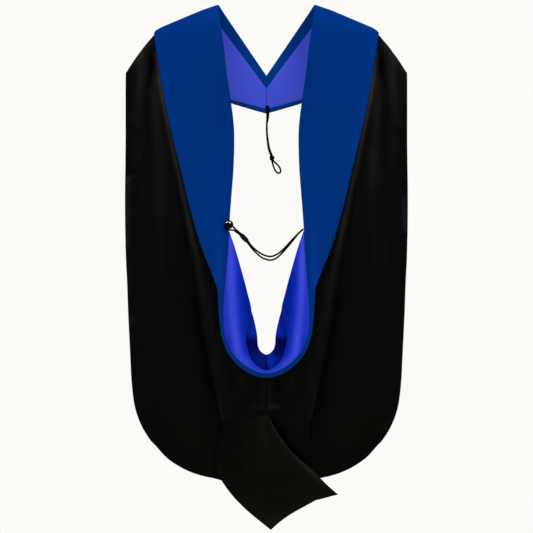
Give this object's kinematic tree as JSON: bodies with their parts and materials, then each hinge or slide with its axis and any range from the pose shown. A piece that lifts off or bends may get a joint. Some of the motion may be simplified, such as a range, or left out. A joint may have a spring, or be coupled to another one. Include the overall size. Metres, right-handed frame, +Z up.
{
  "type": "academic hood",
  "caption": "Doctoral academic hood with wide velvet bands, turned-out satin cowl lining, black cape panels and a squared tail.",
  "frame": {"origin": "middle of the wearer's neck, level with the two neck points where the bands cross the shoulder line", "axes": "+Z up, the wearer faces +Y, so the hood's back faces -Y; +X is the wearer's right"},
  "size_m": [0.6242, 0.2354, 1.1579],
  "materials": {
    "cape_cloth": "matte black woven cloth with a faint sheen",
    "cowl_cloth": "matte black woven cloth",
    "cape_lining": "dull blue lining satin",
    "velvet": "royal blue cut velvet with a short pile",
    "satin": "violet-blue satin",
    "cord": "black braided cord",
    "button": "glossy black ball button"
  },
  "bodies": {
    "root": {"cape_left": "cape_cloth", "cape_right": "cape_cloth", "cowl_left": "cowl_cloth", "cowl_right": "cowl_cloth", "cowl_tail": "cowl_cloth", "cape_lining_left": "cape_lining", "cape_lining_right": "cape_lining", "velvet_band_left": "velvet", "velvet_band_right": "velvet", "neck_facing_left": "velvet", "neck_facing_right": "velvet", "neck_hem_left": "velvet", "neck_hem_right": "velvet", "band_lining_left": "satin", "band_lining_right": "satin", "cowl_lining": "satin", "cowl_lining_inner": "satin", "back_cord": "cord", "cord_slide": "cord", "front_loop_strand_left": "cord", "front_loop_strand_right": "cord", "front_loop_end": "cord", "front_loop_knot": "cord", "button": "button"}
  },
  "joints": []
}
